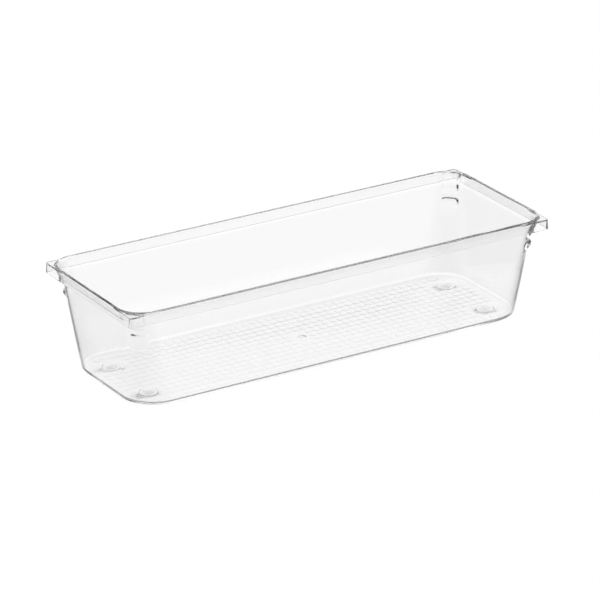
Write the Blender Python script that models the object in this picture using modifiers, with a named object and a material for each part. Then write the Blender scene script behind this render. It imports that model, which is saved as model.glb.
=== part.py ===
"""Clear drawer organizer insert: one moulded tray and the four soft feet pressed under its base.

Metres, +Z up. +X is the long axis, the origin is on the surface the feet stand on, at the middle.
The tray is one thin moulding. Its walls lean outwards and flare into a narrow lip, which folds over
into a short skirt. The opening has rounded corners and the skirt has sharp ones, so a thin ear plate
fills each corner, with a boss under it and a wedge-shaped stacking lug below that.
"""

import bmesh
import bpy
import numpy as np

MM = 0.001

# Overall size, over the skirt and from the feet to the rim.
LENGTH = 230.0 * MM
WIDTH = 83.6 * MM
HEIGHT = 51.9 * MM

# Tray shell.
BASE_UNDERSIDE = 0.8 * MM
BASE_THICKNESS = 1.2 * MM
WALL_THICKNESS = 0.8 * MM
FOOT_OF_WALL = (107.7 * MM, 35.1 * MM)
HEAD_OF_WALL = (112.2 * MM, 39.5 * MM)
FOOT_CORNER_RADIUS = 18.0 * MM
HEAD_CORNER_RADIUS = 10.6 * MM
BASE_FILLET = 2.2 * MM
INNER_FILLET = 1.6 * MM
FILLET_STEPS = 5
INNER_WALL_DEPTHS = (36.0 * MM, 24.0 * MM, 14.0 * MM, 9.0 * MM, 6.2 * MM, 5.0 * MM, 3.4 * MM, 1.8 * MM)
OUTER_WALL_DEPTHS = (24.0 * MM, 36.0 * MM)

# Rim: depths below its top, and insets from the widest part of the skirt.
FLARE_DEPTH = 6.2 * MM
FLARE_INSET = 0.58 * MM
FLARE_POWER = 1.15
LIP_SECTION = (
    (1.38 * MM, 0.3 * MM),
    (1.15 * MM, 0.0),
    (0.72 * MM, 0.0),
    (0.50 * MM, 0.3 * MM),
    (0.47 * MM, 0.7 * MM),
)
LIP_CORNER_RADIUS = 13.0 * MM
EAR_CORNER_RADIUS = 1.5 * MM
EAR_EDGE = 0.2 * MM
SKIRT_DEPTH = 6.0 * MM
SKIRT_DRAFT = 0.4 * MM
SKIRT_THICKNESS = 0.5 * MM
SKIRT_FOOT = 1.0 * MM
FOLD_DEPTH = 1.65 * MM

# Boss and lug outside each corner: how far they stand out, and where they start and end.
BOSS_PROUD = 1.3 * MM
BOSS_DEPTHS = (FOLD_DEPTH, 4.0 * MM, 6.2 * MM, 7.5 * MM)
BOSS_BOTTOM = 11.5 * MM
BOSS_ANGLES = (23.0, 27.0)
LUG_PROUD = 1.5 * MM
LUG_TOP = 12.7 * MM
LUG_FACE = (13.1 * MM, 14.7 * MM)
LUG_BOTTOM = 17.2 * MM
LUG_ANGLES = (17.0, 21.0)

# Feet and the ring seats that hold them.
FOOT_PLACE = (93.6 * MM, 17.5 * MM)
SEAT_OUTER_RADIUS = 4.4 * MM
SEAT_INNER_RADIUS = 2.8 * MM
SEAT_BOTTOM = 0.35 * MM
SEAT_ROOF = 1.0 * MM
FOOT_RADIUS = 2.5 * MM
FOOT_TOP = 0.7 * MM
FOOT_CHAMFER = 0.25 * MM
ROUND_SEGMENTS = 32

# Corner angles that every outline shares, denser where the boss and the lug begin.
HALF_CORNER = [0.0, 9.0, *LUG_ANGLES, *BOSS_ANGLES, 36.5, 45.0]
CORNER_ANGLES = HALF_CORNER + [90.0 - angle for angle in reversed(HALF_CORNER[:-1])]

CORNERS = {
    "front_left": (-1, -1),
    "front_right": (1, -1),
    "back_left": (-1, 1),
    "back_right": (1, 1),
}


def clear_scene():
    for obj in list(bpy.data.objects):
        bpy.data.objects.remove(obj, do_unlink=True)


def make_material(name, colour, roughness, transmission, ior):
    material = bpy.data.materials.new(name)
    material.use_nodes = True
    shader = material.node_tree.nodes["Principled BSDF"]
    shader.inputs["Base Color"].default_value = (*colour, 1.0)
    shader.inputs["Roughness"].default_value = roughness
    shader.inputs["Metallic"].default_value = 0.0
    shader.inputs["Transmission Weight"].default_value = transmission
    shader.inputs["IOR"].default_value = ior
    return material


def outline(half_length, half_width, radius, z, swell=0.0, swell_angles=LUG_ANGLES):
    """A rounded rectangle at height z; its corner arcs may swell outwards between two angles."""
    points = []
    for turn, (sx, sy) in enumerate(((1, 1), (-1, 1), (-1, -1), (1, -1))):
        centre_x = sx * (half_length - radius)
        centre_y = sy * (half_width - radius)
        for angle in CORNER_ANGLES:
            inside = swell_angles[1] <= angle <= 90.0 - swell_angles[1]
            reach = radius + (swell if inside else 0.0)
            direction = np.radians(90.0 * turn + angle)
            x = centre_x + reach * np.cos(direction)
            y = centre_y + reach * np.sin(direction)
            points.append((x, y, z))
    return points


def wall_outline(z, inwards, swell=0.0, swell_angles=LUG_ANGLES):
    """The wall's outer face at height z, moved inwards: a straight draft with a flare at the top."""
    rise = (z - BASE_UNDERSIDE) / (HEIGHT - BASE_UNDERSIDE)
    half_length = FOOT_OF_WALL[0] + rise * (HEAD_OF_WALL[0] - FOOT_OF_WALL[0])
    half_width = FOOT_OF_WALL[1] + rise * (HEAD_OF_WALL[1] - FOOT_OF_WALL[1])
    radius = FOOT_CORNER_RADIUS + rise * (HEAD_CORNER_RADIUS - FOOT_CORNER_RADIUS)
    into_flare = max(0.0, (z - (HEIGHT - FLARE_DEPTH)) / FLARE_DEPTH) ** FLARE_POWER
    flare_length = into_flare * (LENGTH / 2 - FLARE_INSET - half_length)
    flare_width = into_flare * (WIDTH / 2 - FLARE_INSET - half_width)
    return outline(
        half_length + flare_length - inwards,
        half_width + flare_width - inwards,
        radius + (flare_length + flare_width) / 2 - inwards,
        z,
        swell,
        swell_angles,
    )


def rim_outline(inset, radius, depth):
    return outline(LENGTH / 2 - inset, WIDTH / 2 - inset, radius, HEIGHT - depth)


def fillet_outlines(floor_z, inwards, radius):
    """Outlines of the quarter round between a level floor and the drafted wall, floor first."""
    draft = np.arctan((HEAD_OF_WALL[0] - FOOT_OF_WALL[0]) / (HEIGHT - BASE_UNDERSIDE))
    foot = (floor_z - BASE_UNDERSIDE) * np.tan(draft) - inwards
    centre = foot + radius * np.tan(draft) - radius / np.cos(draft)
    rings = []
    for step in range(FILLET_STEPS + 1):
        turn = (np.pi / 2 - draft) * step / FILLET_STEPS
        offset = centre + radius * np.sin(turn)
        rings.append(
            outline(
                FOOT_OF_WALL[0] + offset,
                FOOT_OF_WALL[1] + offset,
                FOOT_CORNER_RADIUS + offset,
                floor_z + radius * (1.0 - np.cos(turn)),
            )
        )
    return rings


def lip_outlines():
    """Over the lip, from the inside of the opening to the ear plates."""
    return [
        rim_outline(inset, LIP_CORNER_RADIUS - inset, depth)
        for inset, depth in LIP_SECTION
    ]


def skirt_outlines():
    """Off the ear plates, down the skirt, across its foot and up its inside to the fold."""
    inner = SKIRT_DRAFT + SKIRT_THICKNESS
    plate = LIP_SECTION[-1][1]
    return [
        rim_outline(SKIRT_DRAFT, EAR_CORNER_RADIUS, plate + EAR_EDGE),
        rim_outline(0.0, EAR_CORNER_RADIUS + SKIRT_DRAFT, SKIRT_DEPTH),
        rim_outline(SKIRT_FOOT, EAR_CORNER_RADIUS, SKIRT_DEPTH),
        rim_outline(inner, EAR_CORNER_RADIUS - SKIRT_THICKNESS, FOLD_DEPTH),
    ]


def tray_rings():
    """Every outline of the tray's skin, from the floor inside, over the rim, to the underside."""
    inner_fillet = fillet_outlines(BASE_UNDERSIDE + BASE_THICKNESS, WALL_THICKNESS, INNER_FILLET)
    inner_wall = [wall_outline(HEIGHT - depth, WALL_THICKNESS) for depth in INNER_WALL_DEPTHS]
    boss = [wall_outline(HEIGHT - depth, 0.0, BOSS_PROUD, BOSS_ANGLES) for depth in BOSS_DEPTHS]
    lug = [
        wall_outline(HEIGHT - BOSS_BOTTOM, 0.0),
        wall_outline(HEIGHT - LUG_TOP, 0.0),
        wall_outline(HEIGHT - LUG_FACE[0], 0.0, LUG_PROUD),
        wall_outline(HEIGHT - LUG_FACE[1], 0.0, LUG_PROUD),
        wall_outline(HEIGHT - LUG_BOTTOM, 0.0),
    ]
    outer_wall = [wall_outline(HEIGHT - depth, 0.0) for depth in OUTER_WALL_DEPTHS]
    outer_fillet = fillet_outlines(BASE_UNDERSIDE, 0.0, BASE_FILLET)
    return (
        inner_fillet
        + inner_wall
        + lip_outlines()
        + skirt_outlines()
        + boss
        + lug
        + outer_wall
        + outer_fillet[::-1]
    )


def add_ring(mesh, points):
    return [mesh.verts.new(point) for point in points]


def join_rings(mesh, first, second):
    for index in range(len(first)):
        following = (index + 1) % len(first)
        mesh.faces.new((first[index], first[following], second[following], second[index]))


def loop_edges(mesh, ring):
    edges = []
    for index, vertex in enumerate(ring):
        edges.append(mesh.edges.get((vertex, ring[(index + 1) % len(ring)])))
    return edges


def add_foot_seat(mesh, centre_x, centre_y):
    """A ring standing down from the base with a blind pocket in it; returns its edge on the base."""
    sections = (
        (SEAT_OUTER_RADIUS, BASE_UNDERSIDE),
        (SEAT_OUTER_RADIUS - 0.15 * MM, SEAT_BOTTOM),
        (SEAT_INNER_RADIUS, SEAT_BOTTOM),
        (SEAT_INNER_RADIUS, SEAT_ROOF),
    )
    turns = np.linspace(0.0, 2.0 * np.pi, ROUND_SEGMENTS, endpoint=False)
    rings = []
    for radius, z in sections:
        circle = [(centre_x + radius * np.cos(t), centre_y + radius * np.sin(t), z) for t in turns]
        rings.append(add_ring(mesh, circle))
    for first, second in zip(rings, rings[1:]):
        join_rings(mesh, first, second)
    mesh.faces.new(rings[-1])
    return loop_edges(mesh, rings[0])


def build_tray(collection, material):
    mesh = bmesh.new()
    rings = [add_ring(mesh, points) for points in tray_rings()]
    for first, second in zip(rings, rings[1:]):
        join_rings(mesh, first, second)
    mesh.faces.new(rings[0])
    underside = loop_edges(mesh, rings[-1])
    for sx, sy in CORNERS.values():
        underside += add_foot_seat(mesh, sx * FOOT_PLACE[0], sy * FOOT_PLACE[1])
    bmesh.ops.triangle_fill(mesh, use_beauty=True, edges=underside)
    bmesh.ops.recalc_face_normals(mesh, faces=mesh.faces)
    data = bpy.data.meshes.new("tray")
    mesh.to_mesh(data)
    mesh.free()
    data.shade_smooth()
    data.set_sharp_from_angle(angle=np.radians(35.0))
    data.materials.append(material)
    collection.objects.link(bpy.data.objects.new("tray", data))


def build_feet(collection, material):
    """A low round pad, turned from half its section, one copy in each seat."""
    profile = (
        (0.0, FOOT_TOP),
        (FOOT_RADIUS, FOOT_TOP),
        (FOOT_RADIUS, FOOT_CHAMFER),
        (FOOT_RADIUS - FOOT_CHAMFER, 0.0),
        (0.0, 0.0),
    )
    data = bpy.data.meshes.new("foot")
    edges = [(index, index + 1) for index in range(len(profile) - 1)]
    data.from_pydata([(x, 0.0, z) for x, z in profile], edges, [])
    data.materials.append(material)
    for corner, (sx, sy) in CORNERS.items():
        foot = bpy.data.objects.new("foot_" + corner, data)
        foot.location = (sx * FOOT_PLACE[0], sy * FOOT_PLACE[1], 0.0)
        turned = foot.modifiers.new("turned", "SCREW")
        turned.steps = ROUND_SEGMENTS
        turned.render_steps = ROUND_SEGMENTS
        turned.use_merge_vertices = True
        turned.merge_threshold = 0.01 * MM
        collection.objects.link(foot)


def main():
    clear_scene()
    collection = bpy.data.collections.new("drawer_organizer_insert")
    bpy.context.scene.collection.children.link(collection)
    build_tray(collection, make_material("clear_plastic", (0.97, 0.98, 0.98), 0.03, 1.0, 1.57))
    build_feet(collection, make_material("clear_silicone", (0.86, 0.87, 0.87), 0.35, 0.8, 1.41))


main()
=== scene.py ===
"""Looks of the clear drawer organizer insert: the moulded tray and its four soft feet.

The tray is one closed skin of rounded-rectangle outlines joined in order: up the inside, over the
rim and the skirt, down the outside and across the textured base. Metres, in the frame's axes.
"""

import math

import bmesh
import bpy
import numpy as np
from mathutils import Matrix, Vector


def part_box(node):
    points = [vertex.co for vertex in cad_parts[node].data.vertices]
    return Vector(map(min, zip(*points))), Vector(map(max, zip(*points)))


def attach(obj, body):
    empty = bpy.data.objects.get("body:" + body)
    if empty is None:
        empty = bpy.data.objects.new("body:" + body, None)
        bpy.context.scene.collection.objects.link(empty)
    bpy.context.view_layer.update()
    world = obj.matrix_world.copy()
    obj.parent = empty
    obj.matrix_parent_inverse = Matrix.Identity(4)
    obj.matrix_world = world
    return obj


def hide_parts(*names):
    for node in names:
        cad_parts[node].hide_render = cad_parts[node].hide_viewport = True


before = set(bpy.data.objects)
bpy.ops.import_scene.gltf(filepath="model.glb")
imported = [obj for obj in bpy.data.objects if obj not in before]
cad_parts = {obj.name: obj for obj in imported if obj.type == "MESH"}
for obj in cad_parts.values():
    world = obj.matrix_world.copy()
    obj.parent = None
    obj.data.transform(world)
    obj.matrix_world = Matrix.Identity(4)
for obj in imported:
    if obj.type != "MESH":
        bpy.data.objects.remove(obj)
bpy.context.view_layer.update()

MM = 0.001
TRAY_LOW, TRAY_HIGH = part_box("tray")
LENGTH = TRAY_HIGH.x - TRAY_LOW.x
WIDTH = TRAY_HIGH.y - TRAY_LOW.y
HEIGHT = TRAY_HIGH.z
FOOT_NAMES = ("foot_front_left", "foot_front_right", "foot_back_left", "foot_back_right")

# Tray shell.
BASE_UNDERSIDE = 0.8 * MM
BASE_THICKNESS = 1.2 * MM
WALL_THICKNESS = 0.8 * MM
FOOT_OF_WALL = (LENGTH / 2 - 7.3 * MM, WIDTH / 2 - 6.7 * MM)
HEAD_OF_WALL = (LENGTH / 2 - 2.8 * MM, WIDTH / 2 - 2.3 * MM)
WALL_DRAFT = math.atan((HEAD_OF_WALL[0] - FOOT_OF_WALL[0]) / (HEIGHT - BASE_UNDERSIDE))
FOOT_CORNER_RADIUS = 18.0 * MM
HEAD_CORNER_RADIUS = 10.6 * MM
BASE_FILLET = 2.2 * MM
INNER_FILLET = 1.6 * MM
FILLET_STEPS = 14

# Rim. BEAD_SECTION is the lip's section: (inset from the skirt's outer face, depth) in mm, and its
# corner radius holds at BEAD_CORNER_INSET. LIP_SIDE is the depth where the wall's inner face ends.
# The skirt hangs off the ears' edge, has a fully rounded foot, and goes back up to the fold. The fold
# lies lower at the ears by EAR_DROP: from SIDE_START off each corner it rises over SIDE_EASE.
FLARE_DEPTH = 6.2 * MM
FLARE_INSET = 0.58 * MM
FLARE_POWER = 1.05
BEAD_CORNER_RADIUS = 11.6 * MM
BEAD_CORNER_INSET = 1.4
BEAD_SECTION = (
    (1.37, 0.27),
    (1.34, 0.14),
    (1.27, 0.04),
    (1.15, 0.0),
    (0.71, 0.0),
    (0.59, 0.04),
    (0.52, 0.13),
    (0.49, 0.26),
    (0.47, 0.70),
)
LIP_SIDE = 0.6 * MM
EAR_CORNER_RADIUS = 1.5 * MM
SKIRT_DEPTH = 6.0 * MM
SKIRT_DRAFT = 0.4 * MM
SKIRT_EDGE = ((0.05, 0.73), (0.02, 0.78), (0.0, 0.9))
SIDE_START = 14.0 * MM
SIDE_EASE = 3.0 * MM
CORNER_CLEARANCE = 0.5 * MM
SKIRT_THICKNESS = 0.55 * MM
SKIRT_FOOT = 1.0 * MM
SKIRT_FOOT_STEPS = 12
FOLD_DEPTH = 1.05 * MM
FOLD_EASE = (0.04 * MM, 0.2 * MM)
EAR_DROP = 0.6 * MM

# Boss and lug on each corner. Both swell between the same two angles, in degrees from the end wall's
# normal, and rise over SWELL_TURN at each side. CLOSE_TURNS are the widths over which the outlines
# have closer points there. LUG_SECTION is (depth below the top, how proud) in mm.
SWELL_ARC = (20.0, 70.0)
SWELL_TURN = 14.0
CLOSE_TURNS = (14.0, 7.0)
BOSS_PROUD = 1.3 * MM
BOSS_START = 1.2 * MM
BOSS_FADE = 7.5 * MM
BOSS_BOTTOM = 11.2 * MM
LUG_SECTION = (
    (11.9, 0.0),
    (12.2, 0.1),
    (12.6, 0.4),
    (13.0, 0.85),
    (13.4, 1.2),
    (13.9, 1.35),
    (14.6, 1.35),
    (15.4, 1.0),
    (16.4, 0.35),
    (17.4, 0.0),
)

# Depths of the plain rings, in mm.
INNER_WALL_DEPTHS = (36.0, 24.0, 14.0, 9.0, 7.0)
OUTER_WALL_DEPTHS = (24.0, 36.0)

# Texture of small pillows under the base. PILLOW_GAP is left inside each cell's edge, PILLOW_DROP is
# how far a pillow stands down, and PILLOW_SQUEEZE is how much of its narrowing is kept lengthwise.
# PILLOW_SECTION is (share of the width, share of the drop), edge first. The margins keep the cells
# off the base's edge, the seats and the gate mark.
CELLS = (48, 13)
CELL = (4.255 * MM, 4.61 * MM)
PILLOW_GAP = 0.3 * MM
PILLOW_DROP = 0.034 * MM
PILLOW_SQUEEZE = 0.35
PILLOW_RADIUS = 0.9 * MM
PILLOW_SECTION = ((1.0, 0.0), (0.9, 0.42), (0.72, 0.75), (0.45, 0.95))
BASE_MARGIN = 0.1 * MM
SEAT_MARGIN = 1.3 * MM
GATE_MARGIN = 0.1 * MM

# Seats and gate mark, turned sections: (radius, height).
SEAT_OUTER_RADIUS = 4.4 * MM
SEAT_INNER_RADIUS = 2.8 * MM
SEAT_BOTTOM = 0.35 * MM
SEAT_ROOF = 1.0 * MM
SEAT_PROFILE = (
    (SEAT_OUTER_RADIUS + 0.15 * MM, BASE_UNDERSIDE),
    (SEAT_OUTER_RADIUS, BASE_UNDERSIDE - 0.06 * MM),
    (SEAT_OUTER_RADIUS - 0.08 * MM, SEAT_BOTTOM + 0.15 * MM),
    (SEAT_OUTER_RADIUS - 0.25 * MM, SEAT_BOTTOM),
    (SEAT_INNER_RADIUS + 0.15 * MM, SEAT_BOTTOM),
    (SEAT_INNER_RADIUS, SEAT_BOTTOM + 0.15 * MM),
    (SEAT_INNER_RADIUS, SEAT_ROOF - 0.1 * MM),
    (SEAT_INNER_RADIUS - 0.1 * MM, SEAT_ROOF),
)
GATE_RADIUS = 2.4 * MM
GATE_PROFILE = (
    (GATE_RADIUS, BASE_UNDERSIDE),
    (GATE_RADIUS - 0.3 * MM, BASE_UNDERSIDE + 0.25 * MM),
    (GATE_RADIUS * 0.5, BASE_UNDERSIDE + 0.3 * MM),
    (GATE_RADIUS * 0.42, BASE_UNDERSIDE + 0.05 * MM),
    (GATE_RADIUS * 0.2, BASE_UNDERSIDE - 0.05 * MM),
)
ROUND_SEGMENTS = 56

# Foot: the round of its edges, the depths of its dimple, and the small flat at its middle.
FOOT_EDGE = 0.2 * MM
FOOT_EDGE_STEPS = 6
FOOT_DIMPLE = (0.08 * MM, 0.03 * MM)
FOOT_MIDDLE = 0.02 * MM

# Faces that meet at more than these angles, in degrees, keep a sharp edge.
TRAY_SHARP = 38.0
FOOT_SHARP = 50.0

# How much light each crossing of the plastic lets by on its flat walls, the darker colour round its
# corners that is painted shade, and how much each material lets by on the way to a lamp or the floor.
CLEAR_TINT = 0.99
# Painted shade: the plastic's colour round the corners, darker than on the flat walls.
CORNER_PAINTED_SHADE = 0.915
PLASTIC_IOR = 1.49
PLASTIC_SHADOW = 0.985
SILICONE_IOR = 1.41
SILICONE_SHADOW = 0.88

# Where nearly all of a noise texture's values lie.
NOISE_SPREAD = (0.3, 0.7)

# How light the floor's colour is: seen plainly, and darker under and beyond the tray, as painted
# shade, for light turned in the plastic.
# FLOOR_NEAR is half the length and width, in metres, of the patch that counts as under it.
FLOOR_PLAIN = 0.86
FLOOR_UNDER_PAINTED_SHADE = 0.3
FLOOR_BEYOND_PAINTED_SHADE = 0.08
FLOOR_NEAR = (0.116, 0.043)
FLOOR_REACH = 3.0
FLOOR_GAP = 0.02 * MM

# Sky: (height up the dome, grey), and its strength.
SKY_STOPS = ((0.0, 0.0), (0.10, 0.02), (0.25, 0.85), (0.45, 0.85), (0.6, 1.0), (1.0, 1.0))
SKY_STRENGTH = 1.13

# Softbox: watts, size and place in metres.
SOFTBOX_POWER = 4.6
SOFTBOX_SIZE = (1.6, 1.2)
SOFTBOX_PLACE = (0.0, 0.1, 1.6)

# Camera: angles in degrees, the point it looks at, its distance in metres and its lens in mm.
CAMERA_ELEVATION = 22.26
CAMERA_AZIMUTH = -30.70
CAMERA_ROLL = -0.86
CAMERA_TARGET = (-5.61 * MM, -8.91 * MM, 24.85 * MM)
CAMERA_DISTANCE = 1.9942
CAMERA_LENS = 252.0


def corner_turns():
    """Angles round a corner: even steps, with closer ones where the boss and the lug begin."""
    turns = set(np.linspace(0.0, 90.0, 31).round(3))
    start, end = SWELL_ARC
    for side in CLOSE_TURNS:
        for share in (0.0, 0.2, 0.4, 0.6, 0.8, 1.0):
            turns.add(round(start + share * side, 3))
            turns.add(round(end - share * side, 3))
    return sorted(turns)


CORNER_TURNS = corner_turns()


def smooth(t):
    t = min(1.0, max(0.0, t))
    return t * t * (3.0 - 2.0 * t)


def swell_at(turn):
    """How much of a boss or lug stands out at this angle: 0 outside its arc, 1 well inside it."""
    start, end = SWELL_ARC
    return smooth((turn - start) / SWELL_TURN) * smooth((end - turn) / SWELL_TURN)


def outline(half_length, half_width, radius, z, proud=0.0, drop=0.0):
    """A rounded rectangle, anticlockwise, with flat points beside each corner's arc.

    The corners may stand proud along their arc, and may lie lower than the sides by a drop.
    """
    near = max(radius + CORNER_CLEARANCE, SIDE_START)
    far = near + SIDE_EASE
    quarter = [(half_length, half_width - far, z), (half_length, half_width - near, z - drop)]
    for turn in CORNER_TURNS:
        reach = radius + proud * swell_at(turn)
        x = half_length - radius + reach * math.cos(math.radians(turn))
        y = half_width - radius + reach * math.sin(math.radians(turn))
        quarter.append((x, y, z - drop))
    quarter += [(half_length - near, half_width, z - drop), (half_length - far, half_width, z)]
    points = []
    for sx, sy in ((1, 1), (-1, 1), (-1, -1), (1, -1)):
        ordered = quarter if sx * sy > 0 else quarter[::-1]
        points += [(sx * x, sy * y, height) for x, y, height in ordered]
    return points


def wall_outline(z, inwards, proud=0.0, drop=0.0):
    """The outer face of the wall at height z, moved inwards: a straight draft, then a flare."""
    rise = (z - BASE_UNDERSIDE) / (HEIGHT - BASE_UNDERSIDE)
    half_length = FOOT_OF_WALL[0] + rise * (HEAD_OF_WALL[0] - FOOT_OF_WALL[0])
    half_width = FOOT_OF_WALL[1] + rise * (HEAD_OF_WALL[1] - FOOT_OF_WALL[1])
    radius = FOOT_CORNER_RADIUS + rise * (HEAD_CORNER_RADIUS - FOOT_CORNER_RADIUS)
    flare = max(0.0, (z - (HEIGHT - FLARE_DEPTH)) / FLARE_DEPTH) ** FLARE_POWER
    flare_length = flare * (LENGTH / 2 - FLARE_INSET - half_length)
    flare_width = flare * (WIDTH / 2 - FLARE_INSET - half_width)
    return outline(
        half_length + flare_length - inwards,
        half_width + flare_width - inwards,
        radius + (flare_length + flare_width) / 2 - inwards,
        z,
        proud,
        drop,
    )


def rim_outline(inset, radius, depth, drop=0.0):
    return outline(LENGTH / 2 - inset, WIDTH / 2 - inset, radius, HEIGHT - depth, drop=drop)


def fillet_outlines(floor_z, inwards, radius):
    """The quarter round between a level floor and the drafted wall, floor first."""
    foot = (floor_z - BASE_UNDERSIDE) * math.tan(WALL_DRAFT) - inwards
    centre = foot + radius * math.tan(WALL_DRAFT) - radius / math.cos(WALL_DRAFT)
    rings = []
    for step in range(FILLET_STEPS + 1):
        turn = (math.pi / 2 - WALL_DRAFT) * step / FILLET_STEPS
        offset = centre + radius * math.sin(turn)
        half_length = FOOT_OF_WALL[0] + offset
        half_width = FOOT_OF_WALL[1] + offset
        z = floor_z + radius * (1.0 - math.cos(turn))
        rings.append(outline(half_length, half_width, FOOT_CORNER_RADIUS + offset, z))
    return rings


def bead_outlines():
    """The lip round the opening, from its inner edge over its flat top to the ears."""
    return [
        rim_outline(inset * MM, BEAD_CORNER_RADIUS - (inset - BEAD_CORNER_INSET) * MM, depth * MM)
        for inset, depth in BEAD_SECTION
    ]


def skirt_outlines():
    """Off the ears' edge, down the skirt, round its foot, and back up its inside to the fold."""
    r = EAR_CORNER_RADIUS
    top = SKIRT_DRAFT
    inner = SKIRT_THICKNESS
    rings = [rim_outline(top + inset * MM, r, depth * MM) for inset, depth in SKIRT_EDGE]
    half = SKIRT_FOOT / 2
    for turn in np.radians(np.linspace(0.0, 180.0, SKIRT_FOOT_STEPS + 1)):
        inset = half * (1.0 - math.cos(turn))
        depth = SKIRT_DEPTH - half * (1.0 - math.sin(turn))
        rings.append(rim_outline(inset, r + top - inset / 2, depth))
    ease_in, ease_down = FOLD_EASE
    return rings + [
        rim_outline(top + inner - ease_in, r - inner, FOLD_DEPTH + ease_down, EAR_DROP),
        rim_outline(top + inner, r - inner, FOLD_DEPTH, EAR_DROP),
    ]


def outside_outlines():
    """Down the outside: the boss under each ear, a plain stretch, the lug, and the wall."""
    rings = [wall_outline(HEIGHT - FOLD_DEPTH, 0.0, BOSS_PROUD, EAR_DROP)]
    for depth in np.linspace(FOLD_DEPTH + BOSS_START, BOSS_FADE, 8):
        rings.append(wall_outline(HEIGHT - depth, 0.0, BOSS_PROUD))
    for share in np.linspace(0.1, 1.0, 10):
        depth = BOSS_FADE + share * (BOSS_BOTTOM - BOSS_FADE)
        rings.append(wall_outline(HEIGHT - depth, 0.0, BOSS_PROUD * (1.0 - smooth(share))))
    for depth, proud in LUG_SECTION:
        rings.append(wall_outline(HEIGHT - depth * MM, 0.0, proud * MM))
    return rings + [wall_outline(HEIGHT - depth * MM, 0.0) for depth in OUTER_WALL_DEPTHS]


def tray_outlines():
    """Every ring of the tray's skin in order, from the inside of the base to its underside."""
    depths = [depth * MM for depth in INNER_WALL_DEPTHS]
    depths += list(np.linspace(FLARE_DEPTH, LIP_SIDE, 16))
    return (
        fillet_outlines(BASE_UNDERSIDE + BASE_THICKNESS, WALL_THICKNESS, INNER_FILLET)
        + [wall_outline(HEIGHT - depth, WALL_THICKNESS) for depth in depths]
        + bead_outlines()
        + skirt_outlines()
        + outside_outlines()
        + fillet_outlines(BASE_UNDERSIDE, 0.0, BASE_FILLET)[::-1]
    )


def add_ring(mesh, points):
    return [mesh.verts.new(point) for point in points]


def join_rings(mesh, first, second):
    for index in range(len(first)):
        following = (index + 1) % len(first)
        mesh.faces.new((first[index], first[following], second[following], second[index]))


def ring_edges(mesh, ring):
    return [mesh.edges.get((ring[i - 1], ring[i])) for i in range(len(ring))]


def add_turned(mesh, centre, profile):
    """Rings of a turned form on a vertical axis, closed at its last one; returns the first ring."""
    turns = np.linspace(0.0, 2.0 * math.pi, ROUND_SEGMENTS, endpoint=False)
    rings = []
    x, y = centre
    for radius, z in profile:
        circle = [(x + radius * math.cos(t), y + radius * math.sin(t), z) for t in turns]
        rings.append(add_ring(mesh, circle))
    for first, second in zip(rings, rings[1:]):
        join_rings(mesh, first, second)
    mesh.faces.new(rings[-1])
    return rings[0]


def foot_centres():
    centres = {}
    for name in FOOT_NAMES:
        low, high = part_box(name)
        centres[name] = ((low.x + high.x) / 2, (low.y + high.y) / 2)
    return centres


FOOT_CENTRES = foot_centres()


def cell_is_kept(low_x, low_y):
    """A cell is left out where it would leave the flat base or come near a seat or the gate."""
    shrink = BASE_FILLET * (1.0 / math.cos(WALL_DRAFT) - math.tan(WALL_DRAFT))
    half_length = FOOT_OF_WALL[0] - shrink
    half_width = FOOT_OF_WALL[1] - shrink
    radius = FOOT_CORNER_RADIUS - shrink
    far_x = max(abs(low_x), abs(low_x + CELL[0]))
    far_y = max(abs(low_y), abs(low_y + CELL[1]))
    over_x = max(0.0, far_x - (half_length - radius))
    over_y = max(0.0, far_y - (half_width - radius))
    if math.hypot(over_x, over_y) > radius - BASE_MARGIN:
        return False
    rounds = [(centre, SEAT_OUTER_RADIUS + SEAT_MARGIN) for centre in FOOT_CENTRES.values()]
    rounds.append(((0.0, 0.0), GATE_RADIUS + GATE_MARGIN))
    for (x, y), reach in rounds:
        near_x = min(max(x, low_x), low_x + CELL[0])
        near_y = min(max(y, low_y), low_y + CELL[1])
        if math.hypot(near_x - x, near_y - y) < reach:
            return False
    return True


def pillow_ring(centre, half_x, half_y, radius, z):
    """A rounded square with three points at each corner."""
    points = []
    for sx, sy, start in ((1, 1, 0.0), (-1, 1, 90.0), (-1, -1, 180.0), (1, -1, 270.0)):
        for turn in (0.0, 45.0, 90.0):
            direction = math.radians(start + turn)
            x = centre[0] + sx * (half_x - radius) + radius * math.cos(direction)
            y = centre[1] + sy * (half_y - radius) + radius * math.sin(direction)
            points.append((x, y, z))
    return points


def add_pillow(mesh, corners, low_x, low_y):
    """One raised pillow in its cell: corners are the cell's four shared points."""
    centre = (low_x + CELL[0] / 2, low_y + CELL[1] / 2)
    rings = []
    for share, drop in PILLOW_SECTION:
        half_x = (CELL[0] / 2 - PILLOW_GAP) * (1.0 - (1.0 - share) * PILLOW_SQUEEZE)
        half_y = (CELL[1] / 2 - PILLOW_GAP) * share
        z = BASE_UNDERSIDE - PILLOW_DROP * drop
        rings.append(add_ring(mesh, pillow_ring(centre, half_x, half_y, PILLOW_RADIUS * share, z)))
    for first, second in zip(rings, rings[1:]):
        join_rings(mesh, first, second)
    top = mesh.verts.new((*centre, BASE_UNDERSIDE - PILLOW_DROP))
    for index in range(len(rings[-1])):
        mesh.faces.new((rings[-1][index], rings[-1][(index + 1) % len(rings[-1])], top))
    outer = rings[0]
    for corner in range(4):
        first = 3 * corner
        mesh.faces.new((corners[corner], outer[first], outer[first + 1]))
        mesh.faces.new((corners[corner], outer[first + 1], outer[first + 2]))
        following = (corner + 1) % 4
        side = (outer[first + 2], outer[3 * following], corners[following], corners[corner])
        mesh.faces.new(side)


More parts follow.
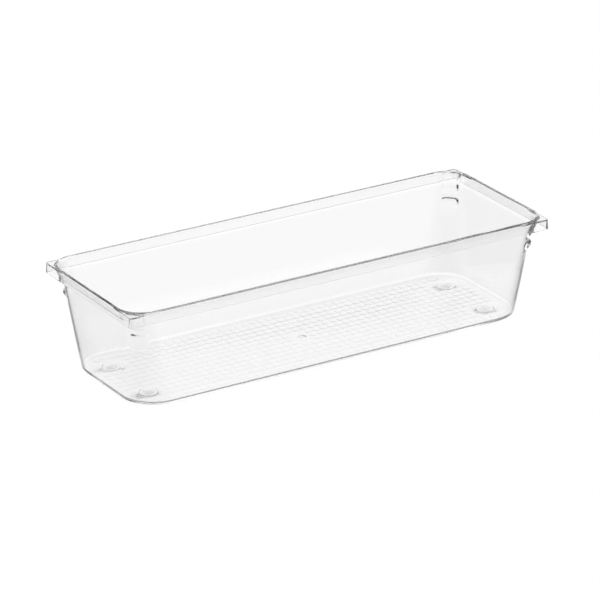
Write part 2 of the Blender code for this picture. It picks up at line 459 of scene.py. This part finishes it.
def add_texture(mesh):
    """The pillows under the base; returns the free edges of the patch they make."""
    shared = {}

    def point(i, j):
        if (i, j) not in shared:
            x = (i - CELLS[0] / 2) * CELL[0]
            y = (j - CELLS[1] / 2) * CELL[1]
            shared[i, j] = mesh.verts.new((x, y, BASE_UNDERSIDE))
        return shared[i, j]

    for i in range(CELLS[0]):
        for j in range(CELLS[1]):
            low_x = (i - CELLS[0] / 2) * CELL[0]
            low_y = (j - CELLS[1] / 2) * CELL[1]
            if cell_is_kept(low_x, low_y):
                corners = (point(i + 1, j + 1), point(i, j + 1), point(i, j), point(i + 1, j))
                add_pillow(mesh, corners, low_x, low_y)
    points = set(shared.values())
    return [e for e in mesh.edges if e.is_boundary and points.issuperset(e.verts)]


def build_tray():
    mesh = bmesh.new()
    underside = add_texture(mesh)
    rings = [add_ring(mesh, points) for points in tray_outlines()]
    for first, second in zip(rings, rings[1:]):
        join_rings(mesh, first, second)
    mesh.faces.new(rings[0])
    underside += ring_edges(mesh, rings[-1])
    for centre in FOOT_CENTRES.values():
        underside += ring_edges(mesh, add_turned(mesh, centre, SEAT_PROFILE))
    underside += ring_edges(mesh, add_turned(mesh, (0.0, 0.0), GATE_PROFILE))
    bmesh.ops.triangle_fill(mesh, use_beauty=True, edges=underside)
    bmesh.ops.recalc_face_normals(mesh, faces=mesh.faces)
    data = bpy.data.meshes.new("tray_moulding")
    mesh.to_mesh(data)
    mesh.free()
    data.shade_smooth()
    data.set_sharp_from_angle(angle=math.radians(TRAY_SHARP))
    tray = bpy.data.objects.new("tray_moulding", data)
    bpy.context.scene.collection.objects.link(tray)
    return tray


def build_foot(name, centre):
    """A soft round bumper: level underneath, with a rounded edge and a shallow dimple on top."""
    low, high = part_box(name)
    radius = (high.x - low.x) / 2
    turns = [math.pi / 2 * step / FOOT_EDGE_STEPS for step in range(FOOT_EDGE_STEPS + 1)]
    flat = radius - FOOT_EDGE
    profile = [(FOOT_MIDDLE, high.z - FOOT_DIMPLE[0]), (radius * 0.5, high.z - FOOT_DIMPLE[1])]
    for turn in turns:
        profile.append((flat + FOOT_EDGE * math.sin(turn), high.z - FOOT_EDGE * (1 - math.cos(turn))))
    for turn in reversed(turns):
        profile.append((flat + FOOT_EDGE * math.sin(turn), low.z + FOOT_EDGE * (1 - math.cos(turn))))
    profile.append((FOOT_MIDDLE, low.z))
    mesh = bmesh.new()
    first = add_turned(mesh, centre, profile)
    mesh.faces.new(first)
    bmesh.ops.recalc_face_normals(mesh, faces=mesh.faces)
    data = bpy.data.meshes.new("soft_" + name)
    mesh.to_mesh(data)
    mesh.free()
    data.shade_smooth()
    data.set_sharp_from_angle(angle=math.radians(FOOT_SHARP))
    foot = bpy.data.objects.new("soft_" + name, data)
    bpy.context.scene.collection.objects.link(foot)
    return foot


def node_material(name):
    material = bpy.data.materials.new(name)
    material.use_nodes = True
    nodes = material.node_tree.nodes
    return material, nodes, material.node_tree.links, nodes["Principled BSDF"]


def object_coordinates(nodes):
    return nodes.new("ShaderNodeTexCoord").outputs["Object"]


def noise(nodes, links, scale, detail, coordinates):
    texture = nodes.new("ShaderNodeTexNoise")
    texture.inputs["Scale"].default_value = scale
    texture.inputs["Detail"].default_value = detail
    links.new(coordinates, texture.inputs["Vector"])
    return texture.outputs["Fac"]


def feed(links, socket, value):
    """Give a socket a plain number or another node's value."""
    if isinstance(value, float):
        socket.default_value = value
    else:
        links.new(value, socket)


def mapped(nodes, links, share, low, high, spread=(0.0, 1.0)):
    """low where the share is at the spread's start and high at its end."""
    node = nodes.new("ShaderNodeMapRange")
    node.inputs["From Min"].default_value = spread[0]
    node.inputs["From Max"].default_value = spread[1]
    node.inputs["To Min"].default_value = low
    feed(links, node.inputs["To Max"], high)
    links.new(share, node.inputs["Value"])
    return node.outputs["Result"]


def math_node(nodes, links, operation, first, second):
    node = nodes.new("ShaderNodeMath")
    node.operation = operation
    links.new(first, node.inputs[0])
    feed(links, node.inputs[1], second)
    return node.outputs["Value"]


def absolute_parts(nodes, links, vector):
    """A separated vector, with the sign of each part dropped."""
    positive = nodes.new("ShaderNodeVectorMath")
    positive.operation = "ABSOLUTE"
    links.new(vector, positive.inputs[0])
    split = nodes.new("ShaderNodeSeparateXYZ")
    links.new(positive.outputs["Vector"], split.inputs["Vector"])
    return split.outputs


def let_light_through(nodes, links, shader, share):
    """Lamps and the floor see through this material, so that it casts only a faint shadow."""
    ray = nodes.new("ShaderNodeLightPath").outputs
    either = math_node(nodes, links, "MAXIMUM", ray["Is Shadow Ray"], ray["Is Diffuse Ray"])
    clear = nodes.new("ShaderNodeBsdfTransparent")
    clear.inputs["Color"].default_value = (share, share, share, 1.0)
    mix = nodes.new("ShaderNodeMixShader")
    links.new(either, mix.inputs["Fac"])
    links.new(shader.outputs["BSDF"], mix.inputs[1])
    links.new(clear.outputs["BSDF"], mix.inputs[2])
    links.new(mix.outputs["Shader"], nodes["Material Output"].inputs["Surface"])


def painted_corner_shade(nodes, links):
    """Painted shade: the plastic's colour is a touch greyer round the corners, where the surface
    faces diagonally.
    """
    facing = absolute_parts(nodes, links, nodes.new("ShaderNodeNewGeometry").outputs["Normal"])
    both = math_node(nodes, links, "MULTIPLY", facing["X"], facing["Y"])
    doubled = math_node(nodes, links, "MULTIPLY", both, 2.0)
    return mapped(nodes, links, doubled, CLEAR_TINT, CORNER_PAINTED_SHADE)


def plastic_material():
    """Water-clear moulded plastic: polished, with faint flow waves from the mould."""
    material, nodes, links, shader = node_material("clear_plastic")
    # Base colour, greyer round the corners as painted shade.
    links.new(painted_corner_shade(nodes, links), shader.inputs["Base Color"])
    shader.inputs["Transmission Weight"].default_value = 1.0
    shader.inputs["IOR"].default_value = PLASTIC_IOR
    coordinates = object_coordinates(nodes)
    haze = noise(nodes, links, 140.0, 3.0, coordinates)
    links.new(mapped(nodes, links, haze, 0.0, 0.03, NOISE_SPREAD), shader.inputs["Roughness"])
    waves = nodes.new("ShaderNodeBump")
    waves.inputs["Strength"].default_value = 0.04
    waves.inputs["Distance"].default_value = 0.2 * MM
    links.new(noise(nodes, links, 45.0, 1.0, coordinates), waves.inputs["Height"])
    links.new(waves.outputs["Normal"], shader.inputs["Normal"])
    let_light_through(nodes, links, shader, PLASTIC_SHADOW)
    return material


def silicone_material():
    """Clear silicone: cloudy and satin, with a fine grain."""
    material, nodes, links, shader = node_material("clear_silicone")
    shader.inputs["Transmission Weight"].default_value = 0.75
    shader.inputs["IOR"].default_value = SILICONE_IOR
    cloud = noise(nodes, links, 600.0, 4.0, object_coordinates(nodes))
    tint = nodes.new("ShaderNodeMix")
    tint.data_type = "RGBA"
    tint.inputs["A"].default_value = (0.80, 0.81, 0.82, 1.0)
    tint.inputs["B"].default_value = (0.92, 0.93, 0.93, 1.0)
    links.new(cloud, tint.inputs["Factor"])
    links.new(tint.outputs["Result"], shader.inputs["Base Color"])
    links.new(mapped(nodes, links, cloud, 0.25, 0.4, NOISE_SPREAD), shader.inputs["Roughness"])
    let_light_through(nodes, links, shader, SILICONE_SHADOW)
    return material


def paint_shade_for_turned_light(nodes, links, shader, coordinates):
    """Painted shade: the floor's colour is darker for rays that turned inside the plastic, darkest
    beyond the tray.
    """
    ray = nodes.new("ShaderNodeLightPath").outputs
    reflected = math_node(nodes, links, "GREATER_THAN", ray["Glossy Depth"], 0.4)
    turned = math_node(nodes, links, "MULTIPLY", reflected, ray["Is Transmission Ray"])
    place = absolute_parts(nodes, links, coordinates)
    past_end = math_node(nodes, links, "GREATER_THAN", place["X"], FLOOR_NEAR[0])
    past_side = math_node(nodes, links, "GREATER_THAN", place["Y"], FLOOR_NEAR[1])
    beyond = math_node(nodes, links, "MAXIMUM", past_end, past_side)
    dim = mapped(nodes, links, beyond, FLOOR_UNDER_PAINTED_SHADE, FLOOR_BEYOND_PAINTED_SHADE)
    links.new(mapped(nodes, links, turned, FLOOR_PLAIN, dim), shader.inputs["Base Color"])


def floor_material():
    material, nodes, links, shader = node_material("studio_floor")
    coordinates = object_coordinates(nodes)
    paper = noise(nodes, links, 900.0, 2.0, coordinates)
    links.new(mapped(nodes, links, paper, 0.75, 0.85, NOISE_SPREAD), shader.inputs["Roughness"])
    # Painted shade in the floor's colour for light turned in the plastic.
    paint_shade_for_turned_light(nodes, links, shader, coordinates)
    return material


def build_floor():
    mesh = bmesh.new()
    bmesh.ops.create_grid(mesh, x_segments=1, y_segments=1, size=FLOOR_REACH)
    data = bpy.data.meshes.new("studio_floor")
    mesh.to_mesh(data)
    mesh.free()
    data.materials.append(floor_material())
    floor = bpy.data.objects.new("studio_floor", data)
    floor.location.z = -FLOOR_GAP
    bpy.context.scene.collection.objects.link(floor)


def build_world():
    """A soft studio: bright overhead, a little dimmer lower down and dark at the horizon."""
    world = bpy.data.worlds.new("studio")
    bpy.context.scene.world = world
    world.use_nodes = True
    nodes = world.node_tree.nodes
    links = world.node_tree.links
    split = nodes.new("ShaderNodeSeparateXYZ")
    links.new(nodes.new("ShaderNodeTexCoord").outputs["Generated"], split.inputs["Vector"])
    ramp = nodes.new("ShaderNodeValToRGB")
    links.new(split.outputs["Z"], ramp.inputs["Fac"])
    while len(ramp.color_ramp.elements) < len(SKY_STOPS):
        ramp.color_ramp.elements.new(0.5)
    for element, (place, grey) in zip(ramp.color_ramp.elements, SKY_STOPS):
        element.position = place
        element.color = (grey, grey, grey, 1.0)
    background = nodes["Background"]
    links.new(ramp.outputs["Color"], background.inputs["Color"])
    background.inputs["Strength"].default_value = SKY_STRENGTH


def build_light():
    data = bpy.data.lights.new("overhead_softbox", "AREA")
    data.shape = "RECTANGLE"
    data.size, data.size_y = SOFTBOX_SIZE
    data.energy = SOFTBOX_POWER
    light = bpy.data.objects.new("overhead_softbox", data)
    light.location = SOFTBOX_PLACE
    bpy.context.scene.collection.objects.link(light)


def build_camera():
    """A long lens from the front left, a little above the rim's level."""
    elevation = math.radians(CAMERA_ELEVATION)
    azimuth = math.radians(CAMERA_AZIMUTH)
    roll = math.radians(CAMERA_ROLL)
    level = math.cos(elevation)
    back = Vector((math.sin(azimuth) * level, -math.cos(azimuth) * level, math.sin(elevation)))
    right = Vector((math.cos(azimuth), math.sin(azimuth), 0.0))
    up = back.cross(right)
    rolled_right = right * math.cos(roll) + up * math.sin(roll)
    rolled_up = up * math.cos(roll) - right * math.sin(roll)
    data = bpy.data.cameras.new("camera")
    data.lens = CAMERA_LENS
    data.sensor_width = 36.0
    data.clip_end = 20.0
    camera = bpy.data.objects.new("camera", data)
    place = Vector(CAMERA_TARGET) + back * CAMERA_DISTANCE
    columns = Matrix((rolled_right, rolled_up, back)).transposed()
    camera.matrix_world = Matrix.Translation(place) @ columns.to_4x4()
    bpy.context.scene.collection.objects.link(camera)
    bpy.context.scene.camera = camera


def main():
    scene = bpy.context.scene
    scene.view_settings.view_transform = "Standard"
    scene.cycles.max_bounces = 96
    scene.cycles.transmission_bounces = 64
    scene.cycles.glossy_bounces = 64
    scene.cycles.transparent_max_bounces = 48
    build_camera()
    build_world()
    build_light()
    build_floor()
    tray = build_tray()
    tray.data.materials.append(plastic_material())
    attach(tray, "root")
    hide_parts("tray")
    silicone = silicone_material()
    for name, centre in FOOT_CENTRES.items():
        foot = build_foot(name, centre)
        foot.data.materials.append(silicone)
        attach(foot, "root")
        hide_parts(name)


main()
